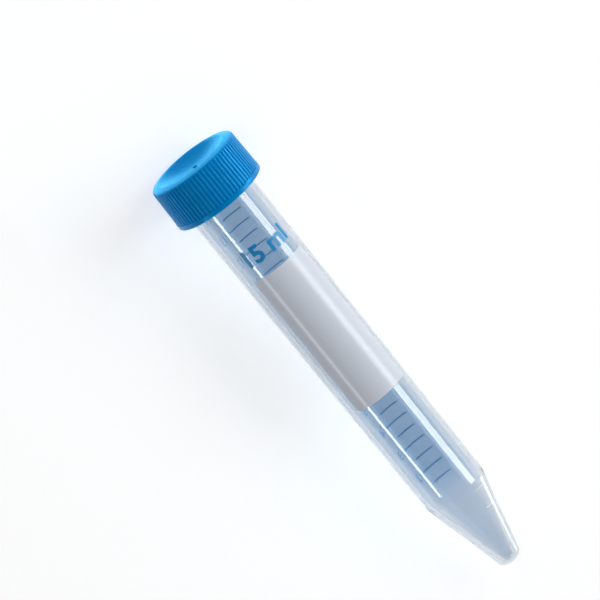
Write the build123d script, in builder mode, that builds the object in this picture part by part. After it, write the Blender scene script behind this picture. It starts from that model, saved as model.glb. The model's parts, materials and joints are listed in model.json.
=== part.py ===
"""A 15 ml screw-cap conical centrifuge tube, lying capped on a flat surface.

Two moulded pieces: the clear tube, and the ribbed screw cap. The capped tube
rests on the cap's lip and on the round between its body and its cone, so its
axis climbs slightly towards the cap. Lengths are in millimetres. The row frame
has +Z up and +X from the tip towards the cap, with its origin on the surface,
under the middle of the object.
"""

from build123d import *

import os
from math import acos, asin, atan, atan2, cos, hypot, pi, radians, sin, sqrt

# ---------------------------------------------------------------- driving dimensions

# Tube, outside, measured along its axis from the tip.
cone_height = 21.6  # tip to the corner where the cone meets the body
body_height = 77.7  # drafted body, from the cone up to the straight band
band_height = 10.6  # straight band that a rack or adapter holds
neck_height = 8.4
band_radius = 8.4
body_draft = 0.5  # how much less the radius is where the cone starts
neck_step = 0.25  # how much less the radius is on the neck
tip_radius = 2.55  # where the cone would meet the flat of the tip
tip_crown_radius = 4.0  # slight dome of the tip
tip_corner_round = 1.6  # round between the tip's dome and the cone
shoulder_blend = 4.0  # round between the cone and the body, inside and out
rim_round = 0.25

# Tube, inside.
neck_wall = 0.95  # at the mouth
body_wall = 1.1  # where the cone starts
inner_cone_rise = 0.4  # the inner cone starts this far above the outer one
tip_bore_radius = 1.3  # round end of the inner cone
tip_thickness = 1.4

# Thread on the neck: one start, of trapezium section.
thread_pitch = 2.6
thread_turns = 1.75
thread_height = 1.0  # stands this far out of the neck
thread_root_width = 1.3  # where it meets the neck
thread_crest_width = 0.6
thread_start = 1.6  # first turn's centre line above the foot of the neck
thread_bury = 0.3  # how deep its section reaches into the neck

# Raised volume marks moulded on the cone.
mark_heights = (15.0, 20.0)  # above the tip
mark_arc = 19.0  # length round the cone, in degrees
mark_turn = 36.5  # middle of each mark, round from the top towards -Y, in degrees
mark_root_width = 0.6
mark_crest_width = 0.2
mark_relief = 0.15
mark_bury = 0.2

# Cap, measured along the axis from its lower lip.
cap_overlap = 0.7  # how far the lip hangs over the top of the straight band
thread_clearance = 0.45  # crest of the tube's thread to the cap's bore
skirt_wall = 1.95  # bore to the face of the ribs, just above the lip
skirt_draft = 0.17  # how much less the radius over the ribs is at the shoulder
lip_proud = 0.07  # the lip stands out past the ribs
lip_height = 1.3
lip_round = 0.3
lip_lead_in = 0.5
bore_corner_round = 0.6
shoulder_width = 1.93  # sloping shoulder, from the ribs in to the ring
shoulder_drop = 0.45  # fall of the shoulder, from the ring to the skirt
shoulder_round = 0.9
crown_ring_width = 0.4  # flat ring on top, round the hollow
dish_depth = 1.75  # hollow of the top, below the ring
gate_radius = 0.45  # moulding stub in the middle of the hollow
gate_height = 0.3
gate_bury = 0.2
crown_thickness = 1.2
seal_bulge = 1.0  # how far the cap's domed seal dips into the mouth
seal_clearance = 0.15  # edge of the seal to the wall of the mouth

# Ribs round the skirt, left standing between tapered grooves.
rib_count = 72
groove_depth = 0.32
groove_mouth_width = 0.62
groove_floor_width = 0.26
groove_overcut = 0.5  # how far the groove's section reaches out past the ribs

# ---------------------------------------------------------------- worked-out dimensions

cone_radius = band_radius - body_draft
cone_slope = (cone_radius - tip_radius) / cone_height
body_slope = body_draft / body_height
band_foot = cone_height + body_height
neck_foot = band_foot + band_height
neck_radius = band_radius - neck_step
rim_height = neck_foot + neck_height
mouth_radius = neck_radius - neck_wall
cone_bore_radius = cone_radius - body_wall
inner_cone_top = cone_height + inner_cone_rise

cap_foot = neck_foot - cap_overlap
crown_rise = dish_depth + crown_thickness - seal_bulge
cap_top = rim_height + crown_rise
skirt_foot = cap_foot + lip_height
skirt_top = cap_top - shoulder_drop
cap_bore_radius = neck_radius + thread_height + thread_clearance
skirt_foot_radius = cap_bore_radius + skirt_wall
skirt_top_radius = skirt_foot_radius - skirt_draft
lip_radius = skirt_foot_radius + lip_proud
crown_radius = skirt_top_radius - shoulder_width
dish_edge_radius = crown_radius - crown_ring_width
dish_floor = cap_top - dish_depth
seal_tip = rim_height - seal_bulge
seal_radius = mouth_radius - seal_clearance

# ---------------------------------------------------------------- resting place

# Centres of the two rounds that touch the surface, as (along the axis, off the axis).
lip_centre = (cap_foot + lip_round, lip_radius - lip_round)
body_lean = atan(body_slope)
cone_lean = atan(cone_slope)
blend_reach = shoulder_blend / (1 + cos(cone_lean - body_lean))
blend_centre = (
    cone_height + blend_reach * (sin(body_lean) + sin(cone_lean)),
    cone_radius - blend_reach * (cos(body_lean) + cos(cone_lean)),
)

# The surface is the line that touches both rounds.
run = lip_centre[0] - blend_centre[0]
climb = lip_centre[1] - blend_centre[1]
tilt = atan2(climb, run) - asin((shoulder_blend - lip_round) / hypot(run, climb))
tip_z = lip_centre[1] * cos(tilt) + lip_round - lip_centre[0] * sin(tilt)
low_end_x = tip_crown_radius * (cos(tilt) - 1)
high_end_x = cap_top * cos(tilt) + crown_radius * sin(tilt)

axis_direction = Vector(cos(tilt), 0, sin(tilt))
tip = Vector(-(low_end_x + high_end_x) / 2, 0, tip_z)
tube_axis = Axis(tip, axis_direction)
# Half sections lie on this plane: x along the axis from the tip, y away from the axis, upwards.
half_plane = Plane(origin=tip, x_dir=axis_direction, z_dir=(0, -1, 0))
# What repeats round the axis is placed on this one: z along the axis, x towards the surface.
round_plane = Plane(origin=tip, x_dir=-half_plane.y_dir, z_dir=axis_direction)


def corner(sketch, along, off):
    """The vertex of a half section nearest to a place given along and off the axis."""
    return sketch.vertices().sort_by_distance((along, off))[0]


# ---------------------------------------------------------------- tube

# Where the tip's dome meets the cone, before the round between them, and the dome half way there.
half_b = tip_crown_radius - cone_slope * tip_radius
square_a = 1 + cone_slope**2
dome_edge = (half_b - sqrt(half_b**2 - square_a * tip_radius**2)) / square_a
dome_edge_radius = tip_radius + cone_slope * dome_edge
dome_middle_radius = dome_edge_radius / 2
dome_middle = tip_crown_radius - sqrt(tip_crown_radius**2 - dome_middle_radius**2)

# The inner cone runs tangentially off the round end of the bore.
bore_centre = tip_thickness + tip_bore_radius
to_inner_corner = hypot(inner_cone_top - bore_centre, cone_bore_radius)
inner_corner_angle = atan2(cone_bore_radius, inner_cone_top - bore_centre)
tangent_angle = inner_corner_angle + acos(tip_bore_radius / to_inner_corner)
middle_angle = (tangent_angle + pi) / 2
bore_tangent = (
    bore_centre + tip_bore_radius * cos(tangent_angle),
    tip_bore_radius * sin(tangent_angle),
)
bore_middle = (
    bore_centre + tip_bore_radius * cos(middle_angle),
    tip_bore_radius * sin(middle_angle),
)

# The flanks run on straight to the foot of the section, inside the neck's wall.
thread_foot = tip + axis_direction * (neck_foot + thread_start)
flank_spread = (thread_root_width - thread_crest_width) / thread_height
thread_foot_width = thread_root_width + flank_spread * thread_bury

with BuildPart() as thread:
    with BuildLine():
        turns = Helix(
            pitch=thread_pitch,
            height=thread_pitch * thread_turns,
            radius=neck_radius,
            center=thread_foot,
            direction=axis_direction,
        )
    thread_end = turns @ 0
    with BuildSketch(Plane(origin=thread_end, x_dir=thread_end - thread_foot, z_dir=turns % 0)):
        with BuildLine():
            Polyline(
                (-thread_bury, -thread_foot_width / 2),
                (thread_height, -thread_crest_width / 2),
                (thread_height, thread_crest_width / 2),
                (-thread_bury, thread_foot_width / 2),
                close=True,
            )
        make_face()
    sweep(path=turns, is_frenet=True)

with BuildPart() as tube:
    with BuildSketch(half_plane) as tube_section:
        with BuildLine():
            ThreePointArc((0, 0), (dome_middle, dome_middle_radius), (dome_edge, dome_edge_radius))
            Polyline(
                (dome_edge, dome_edge_radius),
                (cone_height, cone_radius),
                (band_foot, band_radius),
                (neck_foot - neck_step, band_radius),
                (neck_foot, neck_radius),
                (rim_height, neck_radius),
                (rim_height, mouth_radius),
                (inner_cone_top, cone_bore_radius),
                bore_tangent,
            )
            ThreePointArc(bore_tangent, bore_middle, (tip_thickness, 0))
            Line((tip_thickness, 0), (0, 0))
        make_face()
        fillet(corner(tube_section, dome_edge, dome_edge_radius), radius=tip_corner_round)
        fillet(corner(tube_section, cone_height, cone_radius), radius=shoulder_blend)
        fillet(corner(tube_section, inner_cone_top, cone_bore_radius), radius=shoulder_blend)
        fillet(corner(tube_section, rim_height, neck_radius), radius=rim_round)
        fillet(corner(tube_section, rim_height, mouth_radius), radius=rim_round)
    revolve(axis=tube_axis)
    add(thread.part)
    for mark_height in mark_heights:
        mark_radius = tip_radius + cone_slope * mark_height
        with BuildSketch(half_plane.rotated((mark_turn - mark_arc / 2, 0, 0))):
            with BuildLine():
                Polyline(
                    (mark_height - mark_root_width / 2, mark_radius - mark_bury),
                    (mark_height - mark_crest_width / 2, mark_radius + mark_relief),
                    (mark_height + mark_crest_width / 2, mark_radius + mark_relief),
                    (mark_height + mark_root_width / 2, mark_radius - mark_bury),
                    close=True,
                )
            make_face()
        revolve(axis=tube_axis, revolution_arc=mark_arc)

# ---------------------------------------------------------------- cap

# The hollow of the top is part of a sphere, and so is the domed seal under it.
dish_radius = (dish_edge_radius**2 + dish_depth**2) / (2 * dish_depth)
dish_middle_radius = dish_edge_radius / 2
dish_middle = dish_floor + dish_radius - sqrt(dish_radius**2 - dish_middle_radius**2)
seal_dome_radius = (seal_radius**2 + seal_bulge**2) / (2 * seal_bulge)
seal_middle_radius = seal_radius / 2
seal_middle = seal_tip + seal_dome_radius - sqrt(seal_dome_radius**2 - seal_middle_radius**2)

# One groove between two ribs, tapered with the skirt and run out through the shoulder.
skirt_slope = skirt_draft / (skirt_top - skirt_foot)

with BuildPart() as groove:
    for end in (skirt_foot, cap_top):
        surface = skirt_foot_radius - skirt_slope * (end - skirt_foot)
        with BuildSketch(Plane.XY.offset(end)):
            with BuildLine():
                Polyline(
                    (surface - groove_depth, -groove_floor_width / 2),
                    (surface, -groove_mouth_width / 2),
                    (surface + groove_overcut, -groove_mouth_width / 2),
                    (surface + groove_overcut, groove_mouth_width / 2),
                    (surface, groove_mouth_width / 2),
                    (surface - groove_depth, groove_floor_width / 2),
                    close=True,
                )
            make_face()
    loft(ruled=True)

with BuildPart(round_plane) as cap:
    with BuildSketch(half_plane) as cap_section:
        with BuildLine():
            Line((dish_floor, 0), (seal_tip, 0))
            ThreePointArc((seal_tip, 0), (seal_middle, seal_middle_radius), (rim_height, seal_radius))
            Polyline(
                (rim_height, seal_radius),
                (rim_height, cap_bore_radius),
                (cap_foot + lip_lead_in, cap_bore_radius),
                (cap_foot, cap_bore_radius + lip_lead_in),
                (cap_foot, lip_radius),
                (skirt_foot, lip_radius),
                (skirt_foot, skirt_foot_radius),
                (skirt_top, skirt_top_radius),
                (cap_top, crown_radius),
                (cap_top, dish_edge_radius),
            )
            ThreePointArc((cap_top, dish_edge_radius), (dish_middle, dish_middle_radius), (dish_floor, 0))
        make_face()
        fillet(corner(cap_section, rim_height, cap_bore_radius), radius=bore_corner_round)
        fillet(corner(cap_section, cap_foot, lip_radius), radius=lip_round)
        fillet(corner(cap_section, skirt_top, skirt_top_radius), radius=shoulder_round)
    with BuildSketch(half_plane):
        with Locations((dish_floor - gate_bury, 0)):
            Rectangle(gate_bury + gate_height, gate_radius, align=(Align.MIN, Align.MIN))
    revolve(axis=tube_axis)
    with PolarLocations(0, rib_count):
        add(groove.part, mode=Mode.SUBTRACT)

# ---------------------------------------------------------------- finished pieces

os.makedirs("parts", exist_ok=True)
tube.part.label = "tube"
export_step(tube.part, "parts/tube.step")
cap.part.label = "cap"
export_step(cap.part, "parts/cap.step")
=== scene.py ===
"""A clear screw-cap conical tube, lying capped on a pale surface.

Every piece is modelled in millimetres in the tube's own frame, with x along the
axis from the tip, z away from the axis on the upper side and y to the left of
someone who looks from the tip to the cap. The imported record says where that
frame lies, so each finished mesh is moved there once, in metres.
"""

import json
import logging
from dataclasses import dataclass, field
from enum import Enum
from math import asin, atan, atan2, ceil, cos, hypot, pi, radians, sin, tan, tau

import bmesh
import bpy
from mathutils import Matrix, Vector


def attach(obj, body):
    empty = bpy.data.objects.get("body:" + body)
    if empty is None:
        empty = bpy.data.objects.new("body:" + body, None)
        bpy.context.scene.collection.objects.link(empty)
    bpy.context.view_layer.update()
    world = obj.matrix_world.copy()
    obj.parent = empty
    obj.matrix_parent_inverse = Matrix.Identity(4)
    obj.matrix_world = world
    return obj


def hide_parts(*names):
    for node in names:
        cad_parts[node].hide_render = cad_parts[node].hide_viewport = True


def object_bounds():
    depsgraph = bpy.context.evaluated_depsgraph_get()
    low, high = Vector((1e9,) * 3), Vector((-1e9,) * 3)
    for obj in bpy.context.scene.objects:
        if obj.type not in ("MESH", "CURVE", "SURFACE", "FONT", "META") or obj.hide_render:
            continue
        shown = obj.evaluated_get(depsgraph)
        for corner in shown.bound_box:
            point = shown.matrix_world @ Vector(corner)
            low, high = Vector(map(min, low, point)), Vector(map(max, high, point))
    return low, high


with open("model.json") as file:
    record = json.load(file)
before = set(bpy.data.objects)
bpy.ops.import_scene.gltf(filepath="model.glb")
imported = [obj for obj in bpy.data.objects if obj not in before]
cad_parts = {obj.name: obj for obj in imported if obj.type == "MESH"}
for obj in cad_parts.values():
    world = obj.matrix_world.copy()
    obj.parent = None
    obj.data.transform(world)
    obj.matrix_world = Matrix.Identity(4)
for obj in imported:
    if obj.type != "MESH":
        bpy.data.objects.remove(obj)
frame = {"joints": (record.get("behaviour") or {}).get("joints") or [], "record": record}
CAD_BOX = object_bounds()

log = logging.getLogger("conical_tube")

Colour = tuple[float, float, float]
MM = 0.001
SHARP_EDGE = radians(38)


class Body(Enum):
    """The two bodies that a piece can move with."""

    TUBE = "tube"
    CAP = "cap"


class Slot(Enum):
    """The record's material slots."""

    CLEAR_PLASTIC = "clear_plastic"
    BLUE_PLASTIC = "blue_plastic"
    WHITE_INK = "white_ink"
    BLUE_INK = "blue_ink"


# ---------------------------------------------------------------- small helpers


def smooth_step(value: float) -> float:
    """Ease a value from 0 to 1, flat at both ends."""
    held = min(max(value, 0.0), 1.0)
    return held * held * (3 - 2 * held)


def polar(turn: float, off: float) -> tuple[float, float]:
    """Give y and z at a turn from the top towards -y, in radians, and a distance off the axis."""
    return -off * sin(turn), off * cos(turn)


class Outline:
    """A line drawn in the half plane above the axis, which a spin turns into a shell."""

    def __init__(self, along: float, off: float) -> None:
        """Start the line.

        Args:
            along: Place along the axis.
            off: Distance from the axis.
        """
        self.mesh = bmesh.new()
        self.end = self.mesh.verts.new((along, 0.0, off))
        self.corners: list[tuple[bmesh.types.BMVert, float]] = []

    def line(self, along: float, off: float, rounding: float = 0.0, rows: int = 1) -> None:
        """Draw a straight stretch.

        Args:
            along: Place of its end along the axis.
            off: Distance of its end from the axis.
            rounding: Radius of the round at its end.
            rows: Number of equal edges to draw it with.
        """
        start, goal = self.end.co.copy(), Vector((along, 0.0, off))
        for row in range(1, rows + 1):
            self.end = bmesh.ops.extrude_vert_indiv(self.mesh, verts=[self.end])["verts"][0]
            self.end.co = start.lerp(goal, row / rows)
        if rounding:
            self.corners.append((self.end, rounding))

    def arc(self, centre: tuple[float, float], turn: float, rows: int) -> None:
        """Draw an arc.

        Args:
            centre: Its centre, as along and off the axis.
            turn: Its angle in radians, positive from the tip's side towards the outside.
            rows: Number of edges to draw it with.
        """
        spun = bmesh.ops.spin(
            self.mesh, geom=[self.end], cent=(centre[0], 0.0, centre[1]), axis=(0.0, 1.0, 0.0),
            angle=turn, steps=rows, use_merge=False, use_duplicate=False, space=Matrix.Identity(4),
        )
        self.end = next(part for part in spun["geom_last"] if isinstance(part, bmesh.types.BMVert))

    def round_corners(self, rows: int) -> None:
        """Replace each noted corner by an arc.

        Args:
            rows: Number of edges in each arc.
        """
        for corner, radius in self.corners:
            before, after = (edge.other_vert(corner).co - corner.co for edge in corner.link_edges)
            turn = pi - before.angle(after)
            bmesh.ops.bevel(
                self.mesh, geom=[corner], offset=radius * tan(turn / 2), offset_type="OFFSET", segments=rows,
                profile=0.5, affect="VERTICES", material=-1, clamp_overlap=False,
            )

    def shell(self, steps: int) -> bmesh.types.BMesh:
        """Spin the line once round the axis.

        Args:
            steps: Number of steps in the full turn.

        Returns:
            The closed shell, its doubles merged and its faces pointing outwards.
        """
        mesh = self.mesh
        bmesh.ops.spin(
            mesh, geom=mesh.verts[:] + mesh.edges[:], cent=(0, 0, 0), axis=(1, 0, 0), angle=tau,
            steps=steps, use_merge=True, use_duplicate=False, space=Matrix.Identity(4),
        )
        bmesh.ops.remove_doubles(mesh, verts=mesh.verts, dist=1e-4)
        bmesh.ops.recalc_face_normals(mesh, faces=mesh.faces)
        return mesh


@dataclass(frozen=True)
class Placement:
    """Where the tube's own frame lies in the row's frame."""

    tip: Vector
    axis: Vector

    @classmethod
    def from_record(cls, cone_height: float) -> "Placement":
        """Read the place of the tip from the cone's seat, and the direction from the cap's slide.

        Args:
            cone_height: Distance from the tip to the seat.

        Returns:
            The placement.
        """
        seat = next(m for m in frame["record"]["mounts"] if m["name"] == "cone_seat")
        axis = Vector(frame["joints"][0]["axis"]).normalized()
        return cls(Vector(seat["pos_m"]) - axis * cone_height * MM, axis)

    @property
    def matrix(self) -> Matrix:
        """The move from the tube's frame in millimetres to the row's in metres."""
        left = Vector((0.0, 1.0, 0.0))
        up = self.axis.cross(left)
        turn = Matrix((self.axis, left, up)).transposed().to_4x4()
        return Matrix.Translation(self.tip) @ turn @ Matrix.Scale(MM, 4)

    def point(self, along: float, across: float = 0.0, up: float = 0.0) -> Vector:
        """Give a point of the tube's frame in the row's frame."""
        return self.matrix @ Vector((along, across, up))


@dataclass
class Piece:
    """A finished mesh and what it belongs to."""

    name: str
    body: Body
    slot: Slot
    replaces: str | None = None

    def finish(self, mesh: bmesh.types.BMesh, placement: Placement, material: bpy.types.Material) -> None:
        """Turn a mesh into an object that rides on its body.

        Args:
            mesh: The shape, in millimetres in the tube's frame.
            placement: Where that frame lies.
            material: The piece's finish.
        """
        for edge in mesh.edges:
            edge.smooth = len(edge.link_faces) != 2 or edge.calc_face_angle(0.0) < SHARP_EDGE
        for face in mesh.faces:
            face.smooth = True
        mesh.transform(placement.matrix)
        data = bpy.data.meshes.new(self.name)
        mesh.to_mesh(data)
        mesh.free()
        data.materials.append(material)
        thing = bpy.data.objects.new(self.name, data)
        bpy.context.scene.collection.objects.link(thing)
        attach(thing, self.body.value)
        if self.replaces:
            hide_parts(self.replaces)
        log.info("%s: %d faces on %s", self.name, len(data.polygons), self.body.value)


# ---------------------------------------------------------------- finishes


@dataclass
class Shading:
    """A new node material and the few steps that every finish uses."""

    name: str
    material: bpy.types.Material = field(init=False)

    def __post_init__(self) -> None:
        """Make the material with nothing but its output."""
        self.material = bpy.data.materials.new(self.name)
        self.material.use_nodes = True
        self.tree = self.material.node_tree
        self.tree.nodes.clear()
        self.output = self.add("ShaderNodeOutputMaterial")

    def add(self, kind: str, **settings: object) -> bpy.types.Node:
        """Add a node.

        Args:
            kind: The node's type.
            settings: Its properties, or its inputs where the name starts with a capital letter.

        Returns:
            The node.
        """
        node = self.tree.nodes.new(kind)
        for key, value in settings.items():
            if key[0].isupper():
                node.inputs[key.replace("_", " ")].default_value = value
            else:
                setattr(node, key, value)
        return node

    def link(self, source: bpy.types.NodeSocket, goal: bpy.types.NodeSocket) -> None:
        """Join two sockets."""
        self.tree.links.new(source, goal)

    def place(self, scale: tuple[float, float, float] = (1.0, 1.0, 1.0)) -> bpy.types.NodeSocket:
        """Give the object's coordinates, stretched."""
        mapping = self.add("ShaderNodeMapping", Scale=scale)
        self.link(self.add("ShaderNodeTexCoord").outputs["Object"], mapping.inputs["Vector"])
        return mapping.outputs["Vector"]

    def noise(self, scale: float, detail: float) -> bpy.types.NodeSocket:
        """Give a noise over the object's coordinates.

        Args:
            scale: Its scale, in cells to the metre.
            detail: Its detail.

        Returns:
            The noise's value.
        """
        texture = self.add("ShaderNodeTexNoise", Scale=scale, Detail=detail)
        self.link(self.place(), texture.inputs["Vector"])
        return texture.outputs["Fac"]

    def ranged(self, value: bpy.types.NodeSocket, low: float, high: float,
               start: float = 0.0, end: float = 1.0) -> bpy.types.NodeSocket:
        """Map a value from start and end to low and high."""
        node = self.add("ShaderNodeMapRange", From_Min=start, From_Max=end, To_Min=low, To_Max=high)
        self.link(value, node.inputs["Value"])
        return node.outputs["Result"]

    def blended(self, share: bpy.types.NodeSocket, low: Colour | bpy.types.NodeSocket,
                high: Colour | bpy.types.NodeSocket) -> bpy.types.NodeSocket:
        """Blend two colours.

        Args:
            share: Share of the second colour.
            low: The first colour, or where it comes from.
            high: The second colour, or where it comes from.

        Returns:
            The blend.
        """
        node = self.add("ShaderNodeMix", data_type="RGBA")
        sockets = [socket for socket in node.inputs if socket.type == "RGBA"]
        for socket, colour in zip(sockets, (low, high)):
            if isinstance(colour, bpy.types.NodeSocket):
                self.link(colour, socket)
            else:
                socket.default_value = (*colour, 1.0)
        self.link(share, node.inputs["Factor"])
        return next(socket for socket in node.outputs if socket.type == "RGBA")

    def bump(self, height: bpy.types.NodeSocket, distance: float,
             strength: float) -> bpy.types.NodeSocket:
        """Give a normal disturbed by a height.

        Args:
            height: The height.
            distance: What a height of 1 stands for, in metres.
            strength: Share of the effect.

        Returns:
            The normal.
        """
        node = self.add("ShaderNodeBump", Distance=distance, Strength=strength)
        self.link(height, node.inputs["Height"])
        return node.outputs["Normal"]


@dataclass(frozen=True)
class ClearPlastic:
    """Clear moulded polypropylene: cool and clear face on, paler towards the edges, darker again at the rim.

    The two facing ranges say where the edge's and the rim's tints come in, from 0
    face on to 1 edge on. The body's and, less, the cone's tints are darker and bluer
    than the plastic is: painted shade and blue reflection of what lies behind. The
    rim's darker tints are partly the thick wall's colour and partly a painted dark
    reflection at the outline. The shade colour is what one wall lets through of a
    light, and the marks are painted milky white as a painted highlight.
    """

    # Painted shade: the body's and the cone's tints are darker and bluer than the plastic, for the shade and
    # blue reflection seen through the tube.
    body_tint_and_shade: Colour = (0.495, 0.60, 0.71)
    cone_tint_and_shade: Colour = (0.66, 0.72, 0.795)
    edge_tint: Colour = (0.835, 0.86, 0.89)
    # Partly painted reflection: the rim's darker colour stands partly for the thick wall and partly for a
    # dark reflection at the outline.
    rim_tint_and_reflection: Colour = (0.69, 0.725, 0.785)
    body_haze: float = 0.03
    cone_haze: float = 0.14
    edge_haze: float = 0.08
    # Painted highlight: the moulded marks are painted milky white and hazy, for the light that their raised
    # edges catch.
    mark_highlight_colour: Colour = (0.89, 0.94, 1.0)
    mark_highlight_haze: float = 0.8
    edge_facing: tuple[float, float] = (0.09, 0.42)
    rim_facing: tuple[float, float] = (0.50, 0.64)
    shade: Colour = (0.85, 0.88, 0.91)
    index: float = 1.49
    roughness: float = 0.03

    def material(self, cone_end: float, cone_start: float) -> bpy.types.Material:
        """Build the node material.

        Args:
            cone_end: Place along x, in metres, up to which the wall is as hazy as the cone.
            cone_start: Place along x from which it is as clear as the body.

        Returns:
            The material.
        """
        shading = Shading("clear_polypropylene")
        plastic = shading.add("ShaderNodeBsdfPrincipled", Roughness=self.roughness, IOR=self.index)
        split = shading.add("ShaderNodeSeparateXYZ")
        shading.link(shading.place(), split.inputs["Vector"])
        body = shading.ranged(split.outputs["X"], 0.0, 1.0, cone_end, cone_start)
        facing = shading.add("ShaderNodeLayerWeight", Blend=0.5).outputs["Facing"]
        edge = shading.ranged(facing, 0.0, 1.0, *self.edge_facing)
        rim = shading.ranged(facing, 0.0, 1.0, *self.rim_facing)
        # Painted shade and reflection: these tints of body, cone and rim stand in part for shade and
        # reflection seen through the plastic.
        painted_shade_tint = shading.blended(body, self.cone_tint_and_shade, self.body_tint_and_shade)
        painted_shade_tint = shading.blended(edge, painted_shade_tint, self.edge_tint)
        painted_shade_tint = shading.blended(rim, painted_shade_tint, self.rim_tint_and_reflection)
        # Painted highlight: the marks' mask whitens the moulded marks and makes them hazy.
        mark = shading.add("ShaderNodeAttribute", attribute_name="moulded_mark").outputs["Fac"]
        shading.link(shading.blended(mark, painted_shade_tint, self.mark_highlight_colour), plastic.inputs["Base Color"])
        clear = shading.ranged(body, 1 - self.cone_haze, 1 - self.body_haze)
        share = shading.add("ShaderNodeMix")
        shading.link(edge, share.inputs["Factor"])
        shading.link(clear, share.inputs["A"])
        share.inputs["B"].default_value = 1 - self.edge_haze
        marked = shading.add("ShaderNodeMix")
        shading.link(mark, marked.inputs["Factor"])
        shading.link(share.outputs["Result"], marked.inputs["A"])
        marked.inputs["B"].default_value = 1 - self.mark_highlight_haze
        shading.link(marked.outputs["Result"], plastic.inputs["Transmission Weight"])
        see_through = shading.add("ShaderNodeBsdfTransparent", Color=(*self.shade, 1.0))
        mix = shading.add("ShaderNodeMixShader")
        shading.link(shading.add("ShaderNodeLightPath").outputs["Is Shadow Ray"], mix.inputs["Fac"])
        shading.link(plastic.outputs["BSDF"], mix.inputs[1])
        shading.link(see_through.outputs["BSDF"], mix.inputs[2])
        shading.link(mix.outputs["Shader"], shading.output.inputs["Surface"])
        return shading.material


@dataclass(frozen=True)
class BluePlastic:
    """Blue moulded polyethylene with a satin skin."""

    colour: Colour = (0.0, 0.285, 0.69)
    deeper: Colour = (0.0, 0.265, 0.65)
    glint: Colour = (0.05, 0.6, 1.0)
    roughness: float = 0.26
    roughness_spread: tuple[float, float] = (-0.05, 0.06)
    cloud_scale: float = 140.0
    grain_scale: float = 9000.0
    grain_height: float = 0.000006
    grain_strength: float = 0.6

    def material(self) -> bpy.types.Material:
        """Build the node material."""
        shading = Shading("blue_polyethylene")
        plastic = shading.add(
            "ShaderNodeBsdfPrincipled", IOR=1.5, Specular_IOR_Level=0.5, Specular_Tint=(*self.glint, 1.0),
            Subsurface_Weight=0.5, Subsurface_Scale=0.0012, Subsurface_Radius=(0.1, 0.5, 1.0),
        )
        colour = shading.blended(shading.noise(self.cloud_scale, 3.0), self.deeper, self.colour)
        shading.link(colour, plastic.inputs["Base Color"])
        grain = shading.noise(self.grain_scale, 2.0)
        low, high = (self.roughness + spread for spread in self.roughness_spread)
        shading.link(shading.ranged(grain, low, high), plastic.inputs["Roughness"])
        shading.link(shading.bump(grain, self.grain_height, self.grain_strength), plastic.inputs["Normal"])
        shading.link(plastic.outputs["BSDF"], shading.output.inputs["Surface"])
        return shading.material


@dataclass(frozen=True)
class Ink:
    """Screen-printed ink: an even colour in a slightly uneven film, which is clear below a cover of 1."""

    name: str
    colour: Colour
    roughness: float
    cover: float = 1.0
    gloss: float = 0.5
    thin_share: float = 0.93
    roughness_spread: tuple[float, float] = (-0.05, 0.07)
    film_scale: float = 2600.0
    film_height: float = 0.000003
    film_strength: float = 0.5

    def material(self) -> bpy.types.Material:
        """Build the node material."""
        shading = Shading(self.name)
        film = shading.add(
            "ShaderNodeBsdfPrincipled", IOR=1.48, Alpha=self.cover, Specular_IOR_Level=self.gloss,
        )
        unevenness = shading.noise(self.film_scale, 3.0)
        thin = tuple(self.thin_share * channel for channel in self.colour)
        shading.link(shading.blended(unevenness, thin, self.colour), film.inputs["Base Color"])
        low, high = (self.roughness + spread for spread in self.roughness_spread)
        shading.link(shading.ranged(unevenness, low, high), film.inputs["Roughness"])
        shading.link(shading.bump(unevenness, self.film_height, self.film_strength), film.inputs["Normal"])
        shading.link(film.outputs["BSDF"], shading.output.inputs["Surface"])
        return shading.material


@dataclass(frozen=True)
class FloorFinish:
    """A pale matt surface that glows a little, as a light table does."""

    colour: Colour = (0.75, 0.75, 0.745)
    glow: float = 0.565

    def material(self) -> bpy.types.Material:
        """Build the node material."""
        shading = Shading("pale_surface")
        surface = shading.add(
            "ShaderNodeBsdfPrincipled", Base_Color=(*self.colour, 1.0), Roughness=0.7, Specular_IOR_Level=0.1,
            Emission_Color=(1.0, 1.0, 1.0, 1.0), Emission_Strength=self.glow,
        )
        shading.link(surface.outputs["BSDF"], shading.output.inputs["Surface"])
        return shading.material


# ---------------------------------------------------------------- tube


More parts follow.
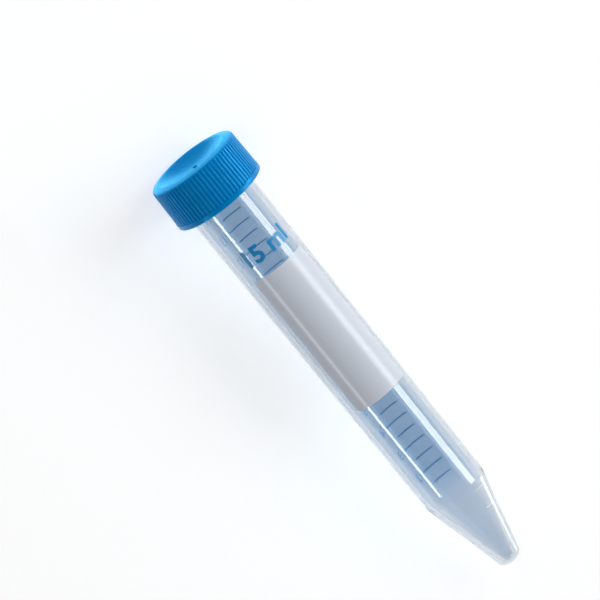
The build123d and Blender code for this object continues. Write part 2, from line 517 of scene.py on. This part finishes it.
@dataclass
class Tube:
    """The clear moulding: domed tip, cone, drafted body, straight band and threaded neck."""

    cone_height: float = 21.6
    body_height: float = 77.7
    band_height: float = 10.6
    neck_height: float = 8.4
    band_radius: float = 8.4
    body_draft: float = 0.5
    neck_step: float = 0.25
    tip_radius: float = 2.55
    tip_crown_radius: float = 4.0
    tip_corner_round: float = 1.6
    shoulder_blend: float = 4.0
    rim_round: float = 0.25
    neck_wall: float = 0.95
    body_wall: float = 1.1
    inner_cone_rise: float = 0.4
    tip_bore_radius: float = 1.3
    tip_thickness: float = 1.4
    thread_pitch: float = 2.6
    thread_turns: float = 1.75
    thread_height: float = 1.0
    thread_root_width: float = 1.3
    thread_crest_width: float = 0.6
    thread_start: float = 1.6
    thread_run_out: float = radians(24)
    mark_heights: tuple[float, float] = (15.0, 20.0)
    mark_arc: float = radians(19)
    mark_turn: float = radians(36.5)
    mark_foot_width: float = 0.37
    mark_crest_width: float = 0.2
    mark_relief: float = 0.15
    mark_margin: float = 0.06
    mark_fade: float = radians(1.5)
    steps: int = 240

    @property
    def cone_radius(self) -> float:
        """Outside radius where the cone meets the body."""
        return self.band_radius - self.body_draft

    @property
    def cone_slope(self) -> float:
        """Growth of the cone's radius along the axis."""
        return (self.cone_radius - self.tip_radius) / self.cone_height

    @property
    def band_foot(self) -> float:
        """Where the straight band starts."""
        return self.cone_height + self.body_height

    @property
    def neck_foot(self) -> float:
        """Where the neck starts."""
        return self.band_foot + self.band_height

    @property
    def neck_radius(self) -> float:
        """Outside radius of the plain neck."""
        return self.band_radius - self.neck_step

    @property
    def rim_height(self) -> float:
        """Where the mouth's rim ends."""
        return self.neck_foot + self.neck_height

    @property
    def mouth_radius(self) -> float:
        """Inside radius at the mouth."""
        return self.neck_radius - self.neck_wall

    @property
    def bore_foot(self) -> tuple[float, float]:
        """Where the drafted bore ends and the inner cone starts, along and off the axis."""
        return self.cone_height + self.inner_cone_rise, self.cone_radius - self.body_wall

    def radius(self, along: float) -> float:
        """Give the outside radius of the cone, body or band.

        Args:
            along: Place along the axis.

        Returns:
            The radius there.
        """
        if along < self.cone_height:
            return self.tip_radius + self.cone_slope * along
        share = min((along - self.cone_height) / self.body_height, 1.0)
        return self.cone_radius + self.body_draft * share

    def inner_cone(self) -> tuple[float, float]:
        """Give the inner cone's half angle and the centre of the round end of its bore."""
        centre = self.tip_thickness + self.tip_bore_radius
        along, off = self.bore_foot[0] - centre, self.bore_foot[1]
        return atan2(off, along) - asin(self.tip_bore_radius / hypot(along, off)), centre

    def height_of(self, millilitres: float) -> float:
        """Find how high a volume fills the upright tube, where it reaches past the inner cone.

        Args:
            millilitres: The volume.

        Returns:
            The height above the tip.
        """
        lean, centre = self.inner_cone()
        foot, foot_radius = self.bore_foot
        end_off = self.tip_bore_radius * cos(lean)
        end_along = centre - self.tip_bore_radius * sin(lean)
        dip = end_along - self.tip_thickness
        below = pi * dip * (3 * end_off**2 + dip**2) / 6
        below += pi * (foot - end_along) * (end_off**2 + end_off * foot_radius + foot_radius**2) / 3
        widening = (self.mouth_radius - foot_radius) / (self.rim_height - foot)
        cubed = foot_radius**3 + 3 * widening * (1000 * millilitres - below) / pi
        return foot + (cubed ** (1 / 3) - foot_radius) / widening

    def outline(self) -> Outline:
        """Draw half of the tube's section, from the tip over the rim to the bottom of the bore."""
        lean = atan(self.cone_slope)
        blend = self.tip_crown_radius - self.tip_corner_round
        reach = self.tip_radius * cos(lean) + self.tip_crown_radius * sin(lean) - self.tip_corner_round
        dome_turn = asin(reach / blend) - lean
        line = Outline(0.0, 0.0)
        line.arc((self.tip_crown_radius, 0.0), dome_turn, 10)
        centre = (self.tip_crown_radius - blend * cos(dome_turn), blend * sin(dome_turn))
        line.arc(centre, pi / 2 - lean - dome_turn, 10)
        for height in self.mark_heights:
            foot, crest = self.mark_foot_width / 2, self.mark_crest_width / 2
            margin = foot + self.mark_margin
            for past in (-margin, -foot, -crest, crest, foot, margin):
                line.line(height + past, self.radius(height + past))
        line.line(self.cone_height, self.cone_radius, self.shoulder_blend)
        line.line(self.band_foot, self.band_radius, rows=24)
        line.line(self.neck_foot - self.neck_step, self.band_radius, rows=4)
        line.line(self.neck_foot, self.neck_radius)
        thread_foot = self.neck_foot + self.thread_start - self.thread_root_width / 2
        thread_top = thread_foot + self.thread_root_width + self.thread_pitch * self.thread_turns
        line.line(thread_foot, self.neck_radius)
        line.line(thread_top, self.neck_radius, rows=64)
        line.line(self.rim_height, self.neck_radius, self.rim_round)
        line.line(self.rim_height, self.mouth_radius, self.rim_round)
        line.line(*self.bore_foot, self.shoulder_blend, rows=24)
        lean, centre_along = self.inner_cone()
        line.line(centre_along - self.tip_bore_radius * sin(lean), self.tip_bore_radius * cos(lean), rows=6)
        line.arc((centre_along, 0.0), lean - pi / 2, 8)
        line.round_corners(6)
        return line

    def thread_rise(self, along: float, turn: float) -> float:
        """Give how far the thread stands out of the neck.

        Args:
            along: Place along the axis.
            turn: Place round the axis in radians, from 0 to a full turn.

        Returns:
            The rise above the neck's radius.
        """
        flank = (self.thread_root_width - self.thread_crest_width) / 2
        full = tau * self.thread_turns
        best = 0.0
        for lap in range(ceil(self.thread_turns)):
            wound = turn + tau * lap
            if wound > full:
                break
            middle = self.neck_foot + self.thread_start + self.thread_pitch * wound / tau
            rise = (self.thread_root_width / 2 - abs(along - middle)) / flank
            ends = smooth_step(min(wound, full - wound) / self.thread_run_out)
            best = max(best, min(max(rise, 0.0), 1.0) * ends)
        return self.thread_height * best

    def raise_details(self, mesh: bmesh.types.BMesh) -> None:
        """Push the thread and the two volume marks out of the plain shell."""
        half_crest = self.mark_crest_width / 2
        marks = [height + half for height in self.mark_heights for half in (-half_crest, half_crest)]
        # This mask also paints the marks' highlight in the clear plastic's finish.
        marked = mesh.verts.layers.float.new("moulded_mark")
        for vertex in mesh.verts:
            along, off = vertex.co.x, hypot(vertex.co.y, vertex.co.z)
            if off < 1.0:
                continue
            turn = atan2(-vertex.co.y, vertex.co.z)
            rise = 0.0
            if along > self.neck_foot and abs(off - self.neck_radius) < 0.01:
                rise = self.thread_rise(along, turn % tau)
            elif any(abs(along - mark) < 0.001 for mark in marks) and abs(off - self.radius(along)) < 0.01:
                past = abs(turn - self.mark_turn) - self.mark_arc / 2
                vertex[marked] = 1 - smooth_step(past / self.mark_fade)
                rise = self.mark_relief * vertex[marked]
            vertex.co.y *= 1 + rise / off
            vertex.co.z *= 1 + rise / off

    def build(self, placement: Placement, finish: ClearPlastic) -> None:
        """Make the tube and put it in its place."""
        mesh = self.outline().shell(self.steps)
        self.raise_details(mesh)
        hazy_end, clear_start = (placement.point(self.cone_height + past).x for past in (-1.0, 7.0))
        material = finish.material(hazy_end, clear_start)
        Piece("tube_shell", Body.TUBE, Slot.CLEAR_PLASTIC, "tube").finish(mesh, placement, material)


# ---------------------------------------------------------------- cap


@dataclass
class Cap:
    """The blue screw cap: ribbed skirt, plain lip, sloping shoulder, hollow top and domed seal."""

    tube: Tube
    overlap: float = 0.7
    thread_clearance: float = 0.45
    skirt_wall: float = 1.95
    skirt_draft: float = 0.17
    lip_proud: float = 0.07
    lip_height: float = 1.3
    lip_round: float = 0.3
    lip_edge_round: float = 0.06
    lip_lead_in: float = 0.5
    bore_corner_round: float = 0.6
    shoulder_width: float = 1.93
    shoulder_drop: float = 0.45
    shoulder_round: float = 0.9
    crown_ring_width: float = 0.4
    crown_edge_round: float = 0.3
    dish_depth: float = 1.75
    gate_radius: float = 0.45
    gate_height: float = 0.3
    gate_edge_round: float = 0.12
    crown_thickness: float = 1.2
    seal_bulge: float = 1.0
    seal_clearance: float = 0.15
    rib_count: int = 72
    steps_per_rib: int = 12
    groove_depth: float = 0.25
    groove_mouth_width: float = 0.62
    groove_floor_width: float = 0.20
    thread_reach: float = 0.75
    thread_width: float = 0.9
    thread_crest_share: float = 0.4
    thread_bury: float = 0.1
    thread_turns: float = 1.5
    thread_steps: int = 216

    @property
    def foot(self) -> float:
        """Where the lip starts, along the axis."""
        return self.tube.neck_foot - self.overlap

    @property
    def top(self) -> float:
        """Where the crown's ring lies."""
        return self.tube.rim_height + self.dish_depth + self.crown_thickness - self.seal_bulge

    @property
    def skirt_foot(self) -> float:
        """Where the ribs start, above the lip."""
        return self.foot + self.lip_height

    @property
    def skirt_top(self) -> float:
        """Where the skirt meets the sloping shoulder."""
        return self.top - self.shoulder_drop

    @property
    def bore_radius(self) -> float:
        """Inside radius, clear of the tube's thread."""
        return self.tube.neck_radius + self.tube.thread_height + self.thread_clearance

    @property
    def skirt_foot_radius(self) -> float:
        """Radius over the ribs just above the lip."""
        return self.bore_radius + self.skirt_wall

    @property
    def lip_radius(self) -> float:
        """Radius of the lip, the widest part."""
        return self.skirt_foot_radius + self.lip_proud

    @property
    def skirt_top_radius(self) -> float:
        """Radius over the ribs at the shoulder."""
        return self.skirt_foot_radius - self.skirt_draft

    @property
    def crown_radius(self) -> float:
        """Outside radius of the crown's ring."""
        return self.skirt_top_radius - self.shoulder_width

    def outline(self) -> Outline:
        """Draw half of the cap's section, from the seal's middle round the skirt to the dish's middle."""
        seal_radius = self.tube.mouth_radius - self.seal_clearance
        seal_sphere = (seal_radius**2 + self.seal_bulge**2) / (2 * self.seal_bulge)
        dish_edge = self.crown_radius - self.crown_ring_width
        dish_sphere = (dish_edge**2 + self.dish_depth**2) / (2 * self.dish_depth)
        dish_turn = asin(dish_edge / dish_sphere) - asin(self.gate_radius / dish_sphere)
        dish_floor = self.top - self.dish_depth
        rim = self.tube.rim_height
        line = Outline(rim - self.seal_bulge, 0.0)
        line.arc((rim - self.seal_bulge + seal_sphere, 0.0), asin(seal_radius / seal_sphere), 8)
        line.line(rim, self.bore_radius, self.bore_corner_round)
        line.line(self.foot + self.lip_lead_in, self.bore_radius)
        line.line(self.foot, self.bore_radius + self.lip_lead_in)
        line.line(self.foot, self.lip_radius, self.lip_round)
        line.line(self.skirt_foot, self.lip_radius, self.lip_edge_round)
        line.line(self.skirt_foot, self.skirt_foot_radius)
        line.line(self.skirt_top, self.skirt_top_radius, self.shoulder_round, rows=6)
        line.line(self.top, self.crown_radius, self.crown_edge_round, rows=3)
        line.line(self.top, dish_edge)
        line.arc((dish_floor + dish_sphere, 0.0), -dish_turn, 20)
        line.line(dish_floor + self.gate_height, self.gate_radius, self.gate_edge_round)
        line.line(dish_floor + self.gate_height, 0.0)
        line.round_corners(6)
        return line

    def cut_grooves(self, mesh: bmesh.types.BMesh) -> None:
        """Draw the skirt in between the ribs, down to the lip and out through the shoulder."""
        pitch = tau / self.rib_count
        slope = self.skirt_draft / (self.skirt_top - self.skirt_foot)
        for vertex in mesh.verts:
            along, off = vertex.co.x, hypot(vertex.co.y, vertex.co.z)
            if along < self.skirt_foot - 0.001 or off < self.bore_radius + 0.05:
                continue
            turn = atan2(-vertex.co.y, vertex.co.z)
            away = abs((turn / pitch + 0.5) % 1.0 - 0.5) * pitch * self.skirt_foot_radius
            spread = (self.groove_mouth_width - self.groove_floor_width) / 2
            depth = self.groove_depth * (1 - smooth_step((away - self.groove_floor_width / 2) / spread))
            face = self.skirt_foot_radius - slope * (along - self.skirt_foot)
            if off < face + 0.001:
                drawn_in = min(off, face - depth)
                vertex.co.y *= drawn_in / off
                vertex.co.z *= drawn_in / off

    def inner_thread(self) -> bmesh.types.BMesh:
        """Wind the cap's own thread, which sits half a pitch from the tube's.

        Returns:
            One helical bar with closed ends.
        """
        tube = self.tube
        start = tube.neck_foot + tube.thread_start + tube.thread_pitch / 2
        wall, crest = self.bore_radius + self.thread_bury, self.bore_radius - self.thread_reach
        half_root = self.thread_width / 2
        half_crest = half_root * self.thread_crest_share
        mesh = bmesh.new()
        corners = ((start - half_root, wall), (start - half_crest, crest),
                   (start + half_crest, crest), (start + half_root, wall))
        section = mesh.faces.new([mesh.verts.new((along, 0.0, off)) for along, off in corners])
        rise = tube.thread_pitch * self.thread_turns / self.thread_steps
        bmesh.ops.spin(
            mesh, geom=[section], cent=(0, 0, 0), axis=(1, 0, 0), dvec=(rise, 0, 0), use_merge=False,
            angle=tau * self.thread_turns, steps=self.thread_steps, use_duplicate=False,
            space=Matrix.Identity(4),
        )
        open_edges = [edge for edge in mesh.edges if edge.is_boundary]
        bmesh.ops.contextual_create(mesh, geom=open_edges)
        bmesh.ops.recalc_face_normals(mesh, faces=mesh.faces)
        return mesh

    def build(self, placement: Placement, finish: BluePlastic) -> None:
        """Make the cap and its thread and put them in their place."""
        mesh = self.outline().shell(self.rib_count * self.steps_per_rib)
        self.cut_grooves(mesh)
        material = finish.material()
        Piece("cap_shell", Body.CAP, Slot.BLUE_PLASTIC, "cap").finish(mesh, placement, material)
        Piece("cap_thread", Body.CAP, Slot.BLUE_PLASTIC).finish(self.inner_thread(), placement, material)


# ---------------------------------------------------------------- print


@dataclass
class Print:
    """Flat artwork, drawn with x round the tube and y along it, then wrapped on to the tube's outside."""

    tube: Tube
    proud: float = 0.03
    sunk: float = 0.02
    facet: float = 0.35
    figure_share: float = 0.729

    def rectangle(self, mesh: bmesh.types.BMesh, left: float, right: float, low: float, high: float,
                  rounding: float = 0.0) -> None:
        """Draw a filled rectangle.

        Args:
            mesh: The artwork to add it to.
            left: Its left side, round the tube.
            right: Its right side.
            low: Its lower side, along the tube.
            high: Its upper side.
            rounding: Radius of its corners.
        """
        made = bmesh.ops.create_grid(mesh, x_segments=1, y_segments=1, size=0.5)["verts"]
        bmesh.ops.scale(mesh, verts=made, vec=(right - left, high - low, 1.0))
        bmesh.ops.translate(mesh, verts=made, vec=((left + right) / 2, (low + high) / 2, 0.0))
        if rounding:
            bmesh.ops.bevel(
                mesh, geom=made, offset=rounding, offset_type="OFFSET", segments=6, profile=0.5,
                affect="VERTICES", material=-1, clamp_overlap=False,
            )

    def lettering(self, mesh: bmesh.types.BMesh, text: str, height: float, left: float, middle: float,
                  weight: float = 0.0) -> None:
        """Write a line of plain text.

        Args:
            mesh: The artwork to add it to.
            text: The words or number.
            height: Height of a figure.
            left: Where it starts, round the tube.
            middle: Middle of its height, along the tube.
            weight: How much to thicken the strokes, in millimetres.
        """
        curve = bpy.data.curves.new("lettering", "FONT")
        curve.body = text
        curve.size = height / self.figure_share
        curve.offset = weight
        curve.resolution_u = 4
        writer = bpy.data.objects.new("lettering", curve)
        flat = bpy.data.meshes.new_from_object(writer)
        flat.transform(Matrix.Translation((left, middle - height / 2, 0.0)))
        mesh.from_mesh(flat)
        bpy.data.objects.remove(writer)
        bpy.data.curves.remove(curve)
        bpy.data.meshes.remove(flat)

    def wrapped(self, mesh: bmesh.types.BMesh, turn: float) -> bmesh.types.BMesh:
        """Thicken the artwork and bend it round the tube.

        Args:
            mesh: The flat artwork.
            turn: Where its x of 0 goes, round from the top towards -y, in radians.

        Returns:
            The same mesh as a thin closed film that follows the tube.
        """
        bmesh.ops.remove_doubles(mesh, verts=mesh.verts, dist=1e-4)
        low = min(v.co.x for v in mesh.verts)
        high = max(v.co.x for v in mesh.verts)
        for cut in range(ceil(low / self.facet), ceil(high / self.facet)):
            everything = mesh.verts[:] + mesh.edges[:] + mesh.faces[:]
            bmesh.ops.bisect_plane(
                mesh, geom=everything, dist=1e-5, plane_co=(cut * self.facet, 0, 0), plane_no=(1, 0, 0),
            )
        bmesh.ops.recalc_face_normals(mesh, faces=mesh.faces)
        lifted = bmesh.ops.extrude_face_region(mesh, geom=mesh.faces[:])["geom"]
        top = {part for part in lifted if isinstance(part, bmesh.types.BMVert)}
        for vertex in mesh.verts:
            around, along = vertex.co.x, vertex.co.y
            surface = self.tube.radius(along)
            off = surface + (self.proud if vertex in top else -self.sunk)
            across, up = polar(turn + around / surface, off)
            vertex.co = (along, across, up)
        bmesh.ops.recalc_face_normals(mesh, faces=mesh.faces)
        return mesh


@dataclass
class Graduations(Print):
    """The volume lines, every half millilitre, with a number at every whole one, on the tube's underside."""

    first: float = 1.5
    last: float = 14.0
    interval: float = 0.5
    line_width: float = 0.3
    side: float = pi
    half_line: tuple[float, float] = (radians(-17.7), radians(22.5))
    whole_line: tuple[float, float] = (radians(-19.6), radians(37.0))
    number_turn: float = radians(40.0)
    number_height: float = 2.3

    def build(self, placement: Placement, finish: Ink) -> None:
        """Make the lines and the numbers and put them in their place."""
        lines, numbers = bmesh.new(), bmesh.new()
        for count in range(round((self.last - self.first) / self.interval) + 1):
            volume = self.first + count * self.interval
            height = self.tube.height_of(volume)
            radius = self.tube.radius(height)
            whole = volume == round(volume)
            start, end = self.whole_line if whole else self.half_line
            half = self.line_width / 2
            self.rectangle(lines, start * radius, end * radius, height - half, height + half)
            if whole:
                left = self.number_turn * radius
                self.lettering(numbers, f"{volume:.0f}", self.number_height, left, height)
        material = finish.material()
        for name, mesh in (("graduations", lines), ("graduation_numbers", numbers)):
            wrapped = self.wrapped(mesh, self.side)
            Piece(name, Body.TUBE, Slot.BLUE_INK).finish(wrapped, placement, material)


@dataclass
class WriteOnPanel(Print):
    """The white field on the upper side of the tube."""

    low: float = 51.2
    high: float = 90.1
    turns: tuple[float, float] = (radians(-48.0), radians(63.5))
    corner_round: float = 1.0

    def build(self, placement: Placement, finish: Ink) -> None:
        """Make the field and put it in its place."""
        mesh = bmesh.new()
        radius = self.tube.radius((self.low + self.high) / 2)
        left, right = (turn * radius for turn in self.turns)
        self.rectangle(mesh, left, right, self.low, self.high, self.corner_round)
        wrapped = self.wrapped(mesh, 0.0)
        Piece("write_on_panel", Body.TUBE, Slot.WHITE_INK).finish(wrapped, placement, finish.material())


@dataclass
class CapacityMark(Print):
    """The plain words that give the tube's capacity, above the panel."""

    text: str = "15 ml"
    height: float = 4.3
    middle: float = 95.8
    turn: float = radians(-40.0)
    weight: float = 0.2

    def build(self, placement: Placement, finish: Ink) -> None:
        """Write the words and put them in their place."""
        mesh = bmesh.new()
        self.lettering(mesh, self.text, self.height, 0.0, self.middle, self.weight)
        wrapped = self.wrapped(mesh, self.turn)
        Piece("capacity_mark", Body.TUBE, Slot.BLUE_INK).finish(wrapped, placement, finish.material())


# ---------------------------------------------------------------- studio


class Reach(Enum):
    """What a light is for."""

    SHAPE = "lights the surfaces, with no reflection of its own"
    SHINE = "shows only as a reflection"


@dataclass
class SoftLight:
    """One soft rectangular light, which runs along the tube from its low to its high place.

    Both places are in metres along the axis from the tip, as the distance and the
    width are. The glow is the light's strength for its area.
    """

    name: str
    turn: float
    distance: float
    width: float
    low: float
    high: float
    glow: float
    reach: Reach
    colour: Colour = (1.0, 1.0, 1.0)

    def build(self, placement: Placement) -> None:
        """Hang the light beside the tube, with its face towards the axis."""
        lamp = bpy.data.lights.new(self.name, "AREA")
        lamp.shape = "RECTANGLE"
        lamp.size, lamp.size_y = self.high - self.low, self.width
        lamp.energy = self.glow * pi * lamp.size * lamp.size_y
        lamp.color = self.colour
        holder = bpy.data.objects.new(self.name, lamp)
        axis = placement.axis
        across, up = polar(self.turn, self.distance / MM)
        middle = placement.point((self.low + self.high) / 2 / MM, across, up)
        outward = (middle - placement.point((self.low + self.high) / 2 / MM)).normalized()
        turned = Matrix((axis, outward.cross(axis), outward)).transposed().to_4x4()
        holder.matrix_world = Matrix.Translation(middle) @ turned
        holder.visible_camera = False
        holder.visible_diffuse = self.reach is Reach.SHAPE
        holder.visible_glossy = self.reach is Reach.SHINE
        holder.visible_transmission = self.reach is Reach.SHAPE
        bpy.context.scene.collection.objects.link(holder)


@dataclass(frozen=True)
class DishReflectionCard:
    """A blue card with a darker middle, in front of the cap, that shows only in reflections."""

    length: float = 0.06
    width: float = 0.08
    height: float = 0.0003
    gap: float = 0.0001
    middle_ahead: float = 0.0054
    stretch: float = 0.62
    dark_radius: float = 0.0025
    bright_radius: float = 0.0035
    # Painted reflection: the card's glow, darker in the middle and bright round it, paints the reflection in
    # the cap's hollow.
    dark: Colour = (0.0, 0.25, 0.6)
    bright: Colour = (0.45, 2.0, 3.0)

    def material(self, middle: float) -> bpy.types.Material:
        """Build the node material, which glows with a darker middle.

        Args:
            middle: Place of the darker middle along x, in metres.

        Returns:
            The material.
        """
        shading = Shading("dish_reflection_card")
        away = shading.add("ShaderNodeVectorMath", operation="DISTANCE")
        shading.link(shading.place((1.0, self.stretch, 1.0)), away.inputs[0])
        away.inputs[1].default_value = (middle, 0.0, self.height)
        ring = shading.ranged(away.outputs["Value"], 0.0, 1.0, self.dark_radius, self.bright_radius)
        glow = shading.add("ShaderNodeEmission")
        shading.link(shading.blended(ring, self.dark, self.bright), glow.inputs["Color"])
        shading.link(glow.outputs["Emission"], shading.output.inputs["Surface"])
        return shading.material

    def build(self) -> None:
        """Lay the card on the surface in front of the cap."""
        start = CAD_BOX[1][0] + self.gap
        mesh = bmesh.new()
        placed = Matrix.Translation((start + self.length / 2, 0.0, self.height))
        placed @= Matrix.Diagonal((self.length, self.width, 1.0, 1.0))
        bmesh.ops.create_grid(mesh, x_segments=1, y_segments=1, size=0.5, matrix=placed)
        data = bpy.data.meshes.new("dish_reflection_card")
        mesh.to_mesh(data)
        mesh.free()
        data.materials.append(self.material(start + self.middle_ahead))
        card = bpy.data.objects.new("dish_reflection_card", data)
        card.visible_camera = card.visible_diffuse = card.visible_shadow = card.visible_transmission = False
        bpy.context.scene.collection.objects.link(card)


@dataclass
class Studio:
    """The pale surface, the lights and the camera."""

    placement: Placement
    floor_radius: float = 6.0
    view_rise: float = radians(13.573)
    view_roll: float = radians(38.9)
    view_distance: float = 4.0
    view_along: float = 78.966
    view_across: float = 0.441
    lens: float = 1057.3
    sensor: float = 36.0
    from_below: Colour = (0.10, 0.12, 0.14)
    from_above: Colour = (0.275, 0.28, 0.29)
    horizon: float = 0.12

    def surface(self, finish: FloorFinish) -> None:
        """Lay the surface."""
        mesh = bmesh.new()
        bmesh.ops.create_circle(mesh, cap_ends=True, segments=96, radius=self.floor_radius)
        data = bpy.data.meshes.new("surface")
        mesh.to_mesh(data)
        mesh.free()
        data.materials.append(finish.material())
        floor = bpy.data.objects.new("surface", data)
        bpy.context.scene.collection.objects.link(floor)

    def lights(self) -> None:
        """Hang the lights and set the soft grey around them."""
        for light in (
            SoftLight("right_strip", radians(64), 0.6, 0.25, -0.19, -0.03, 10.5, Reach.SHINE),
            SoftLight("left_strip", radians(-55.2), 0.6, 0.09, -0.138, -0.03, 15.0, Reach.SHINE),
            SoftLight("cone_strip", radians(99.5), 0.0223, 0.0066, -0.013, 0.0125, 3.5, Reach.SHINE),
            SoftLight("rib_strip", radians(80), 0.6, 0.09, -0.016, 0.03, 65.0, Reach.SHINE, (0.3, 0.8, 1.0)),
            SoftLight("key", radians(58), 0.9, 0.4, -0.3, 0.5, 3.8, Reach.SHAPE, (1.0, 0.99, 0.97)),
            SoftLight("overhead", radians(-10), 1.1, 0.5, 0.2, 1.2, 1.0, Reach.SHAPE),
        ):
            light.build(self.placement)
        self.surroundings()

    def surroundings(self) -> None:
        """Set the soft cool light around the tube, which is darker from below."""
        world = bpy.data.worlds.new("studio")
        world.use_nodes = True
        tree = world.node_tree
        split = tree.nodes.new("ShaderNodeSeparateXYZ")
        tree.links.new(tree.nodes.new("ShaderNodeTexCoord").outputs["Generated"], split.inputs["Vector"])
        ramp = tree.nodes.new("ShaderNodeValToRGB")
        tree.links.new(split.outputs["Z"], ramp.inputs["Fac"])
        low, high = ramp.color_ramp.elements
        low.position, low.color = 0.0, (*self.from_below, 1.0)
        high.position, high.color = self.horizon, (*self.from_above, 1.0)
        tree.links.new(ramp.outputs["Color"], tree.nodes["Background"].inputs["Color"])
        bpy.context.scene.world = world

    def camera(self) -> None:
        """Put the camera where the tube is seen with its cap at the upper left."""
        axis = self.placement.axis
        side = Vector((0.0, -1.0, 0.0))
        up = side.cross(axis).normalized()
        outward = up * cos(self.view_rise) + axis * sin(self.view_rise)
        towards_tip = up * -sin(self.view_rise) + axis * cos(self.view_rise)
        right = side * cos(self.view_roll) - towards_tip * sin(self.view_roll)
        high = side * sin(self.view_roll) + towards_tip * cos(self.view_roll)
        target = self.placement.point(self.view_along, self.view_across)
        data = bpy.data.cameras.new("camera")
        data.sensor_width = self.sensor
        data.lens = self.lens
        data.clip_end = 50.0
        holder = bpy.data.objects.new("camera", data)
        turned = Matrix((right, high, outward)).transposed().to_4x4()
        holder.matrix_world = Matrix.Translation(target + outward * self.view_distance) @ turned
        bpy.context.scene.collection.objects.link(holder)
        bpy.context.scene.camera = holder

    def build(self) -> None:
        """Set up everything around the tube."""
        self.surface(FloorFinish())
        # A glowing card that paints the reflection in the cap's hollow.
        DishReflectionCard().build()
        self.lights()
        self.camera()
        bpy.context.scene.view_settings.view_transform = "Standard"


def main() -> None:
    """Build the tube, its cap and its print, and the studio around them."""
    logging.basicConfig(level=logging.INFO, format="%(name)s: %(message)s")
    tube = Tube()
    placement = Placement.from_record(tube.cone_height)
    Studio(placement).build()
    tube.build(placement, ClearPlastic())
    Cap(tube).build(placement, BluePlastic())
    blue_ink = Ink("blue_ink", (0.0, 0.29, 0.66), 0.35)
    thin_blue_ink = Ink("thin_blue_ink", (0.09, 0.42, 0.80), 0.35, cover=0.85)
    white_ink = Ink("white_ink", (0.83, 0.885, 0.98), 0.2, gloss=0.25)
    Graduations(tube).build(placement, thin_blue_ink)
    WriteOnPanel(tube).build(placement, white_ink)
    CapacityMark(tube).build(placement, blue_ink)


if __name__ == "__main__":
    main()
